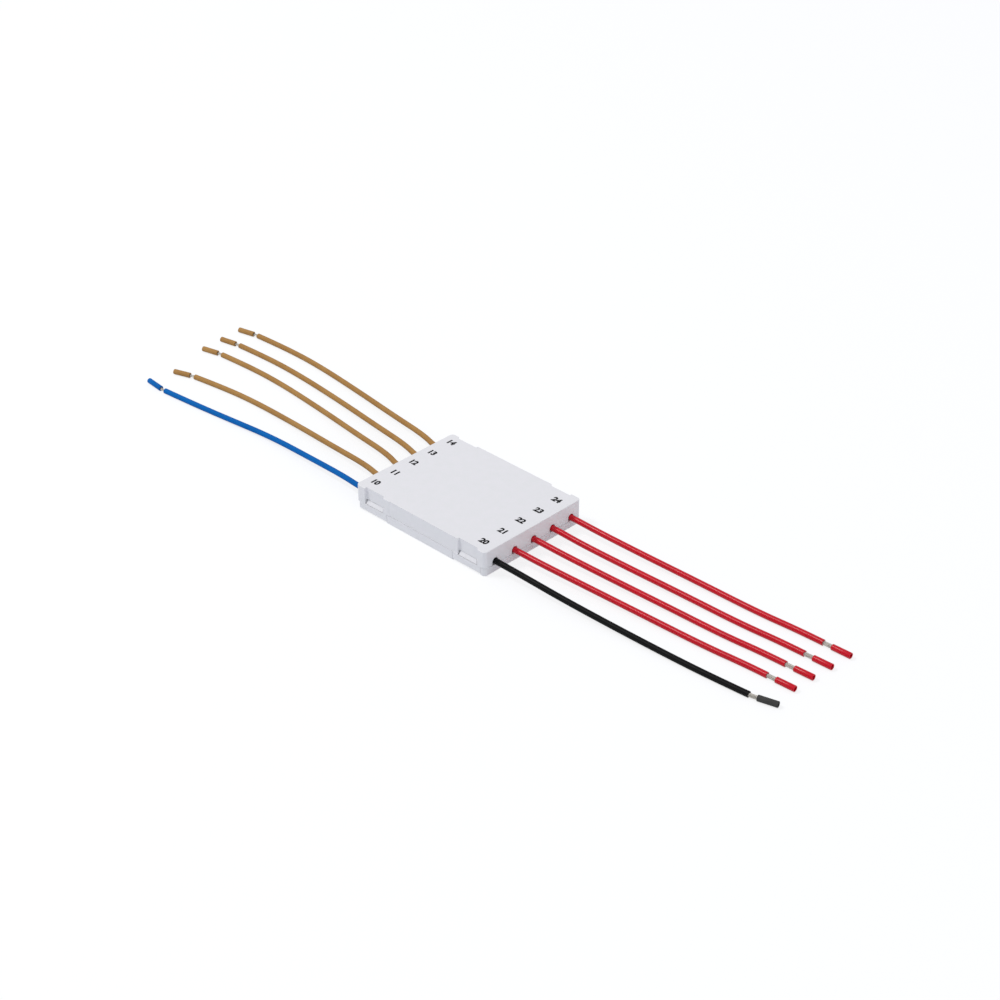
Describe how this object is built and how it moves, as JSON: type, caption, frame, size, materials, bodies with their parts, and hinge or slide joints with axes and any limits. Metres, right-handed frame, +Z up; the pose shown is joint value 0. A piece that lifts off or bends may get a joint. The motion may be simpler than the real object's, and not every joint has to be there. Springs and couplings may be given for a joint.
{
  "type": "four-channel decoupler module",
  "caption": "Flat snap-together decoupler module with insulated input leads at one end, low-voltage output leads at the other and an opto-isolated circuit board inside.",
  "frame": {"origin": "centre of the housing's underside", "axes": "+X from the input leads to the output leads along the housing's length, +Y along the rows of leads away from the neutral and common leads, +Z up from the underside to the roof"},
  "size_m": [0.2315, 0.0442, 0.0072],
  "materials": {
    "white_housing": "fine satin moulding",
    "brown_pvc": "matte",
    "blue_pvc": "satin",
    "red_pvc": "glossy",
    "black_pvc": "satin",
    "tinned_copper": "tinned, twisted strands",
    "tin": "bright solder",
    "copper": "bare copper",
    "board_laminate": "green solder mask",
    "black_epoxy": "moulded epoxy",
    "resistor_black": "glazed",
    "capacitor_tan": "bare ceramic"
  },
  "bodies": {
    "decoupler": {"base_shell": "white_housing", "black_lead_conductor": "tinned_copper", "black_lead_insulation": "black_pvc", "blue_lead_conductor": "tinned_copper", "blue_lead_insulation": "blue_pvc", "brown_lead_1_conductor": "tinned_copper", "brown_lead_1_insulation": "brown_pvc", "brown_lead_2_conductor": "tinned_copper", "brown_lead_2_insulation": "brown_pvc", "brown_lead_3_conductor": "tinned_copper", "brown_lead_3_insulation": "brown_pvc", "brown_lead_4_conductor": "tinned_copper", "brown_lead_4_insulation": "brown_pvc", "chip_terminals": "tin", "circuit_board": "board_laminate", "cover_shell": "white_housing", "diode_tabs": "tin", "input_diodes": "black_epoxy", "lead_pads": "copper", "optocoupler_1": "black_epoxy", "optocoupler_2": "black_epoxy", "optocoupler_3": "black_epoxy", "optocoupler_4": "black_epoxy", "optocoupler_legs": "tin", "output_diodes": "black_epoxy", "output_resistors": "resistor_black", "red_lead_1_conductor": "tinned_copper", "red_lead_1_insulation": "red_pvc", "red_lead_2_conductor": "tinned_copper", "red_lead_2_insulation": "red_pvc", "red_lead_3_conductor": "tinned_copper", "red_lead_3_insulation": "red_pvc", "red_lead_4_conductor": "tinned_copper", "red_lead_4_insulation": "red_pvc", "series_resistors": "resistor_black", "smoothing_capacitors": "capacitor_tan", "solder_joints": "tin"},
    "blue_lead_end_sleeve": {"blue_lead_end_sleeve": "blue_pvc"},
    "brown_lead_1_end_sleeve": {"brown_lead_1_end_sleeve": "brown_pvc"},
    "brown_lead_2_end_sleeve": {"brown_lead_2_end_sleeve": "brown_pvc"},
    "brown_lead_3_end_sleeve": {"brown_lead_3_end_sleeve": "brown_pvc"},
    "brown_lead_4_end_sleeve": {"brown_lead_4_end_sleeve": "brown_pvc"},
    "black_lead_end_sleeve": {"black_lead_end_sleeve": "black_pvc"},
    "red_lead_1_end_sleeve": {"red_lead_1_end_sleeve": "red_pvc"},
    "red_lead_2_end_sleeve": {"red_lead_2_end_sleeve": "red_pvc"},
    "red_lead_3_end_sleeve": {"red_lead_3_end_sleeve": "red_pvc"},
    "red_lead_4_end_sleeve": {"red_lead_4_end_sleeve": "red_pvc"}
  },
  "joints": [
    {"name": "blue_lead_sleeve_pull", "type": "slide", "parent": "decoupler", "child": "blue_lead_end_sleeve", "axis": [-0.9954, 0.0958, 0], "range_m": [0, 0.006]},
    {"name": "brown_lead_1_sleeve_pull", "type": "slide", "parent": "decoupler", "child": "brown_lead_1_end_sleeve", "axis": [-0.9483, -0.3173, 0], "range_m": [0, 0.006]},
    {"name": "brown_lead_2_sleeve_pull", "type": "slide", "parent": "decoupler", "child": "brown_lead_2_end_sleeve", "axis": [-0.9744, -0.225, 0], "range_m": [0, 0.006]},
    {"name": "brown_lead_3_sleeve_pull", "type": "slide", "parent": "decoupler", "child": "brown_lead_3_end_sleeve", "axis": [-0.9816, -0.1908, 0], "range_m": [0, 0.006]},
    {"name": "brown_lead_4_sleeve_pull", "type": "slide", "parent": "decoupler", "child": "brown_lead_4_end_sleeve", "axis": [-0.9763, -0.2164, 0], "range_m": [0, 0.006]},
    {"name": "black_lead_sleeve_pull", "type": "slide", "parent": "decoupler", "child": "black_lead_end_sleeve", "axis": [0.9659, 0.2588, 0], "range_m": [0, 0.006]},
    {"name": "red_lead_1_sleeve_pull", "type": "slide", "parent": "decoupler", "child": "red_lead_1_end_sleeve", "axis": [0.9986, 0.0523, 0], "range_m": [0, 0.006]},
    {"name": "red_lead_2_sleeve_pull", "type": "slide", "parent": "decoupler", "child": "red_lead_2_end_sleeve", "axis": [0.9986, 0.0523, 0], "range_m": [0, 0.006]},
    {"name": "red_lead_3_sleeve_pull", "type": "slide", "parent": "decoupler", "child": "red_lead_3_end_sleeve", "axis": [0.999, 0.0436, 0], "range_m": [0, 0.006]},
    {"name": "red_lead_4_sleeve_pull", "type": "slide", "parent": "decoupler", "child": "red_lead_4_end_sleeve", "axis": [0.9994, 0.0349, 0], "range_m": [0, 0.006]}
  ]
}
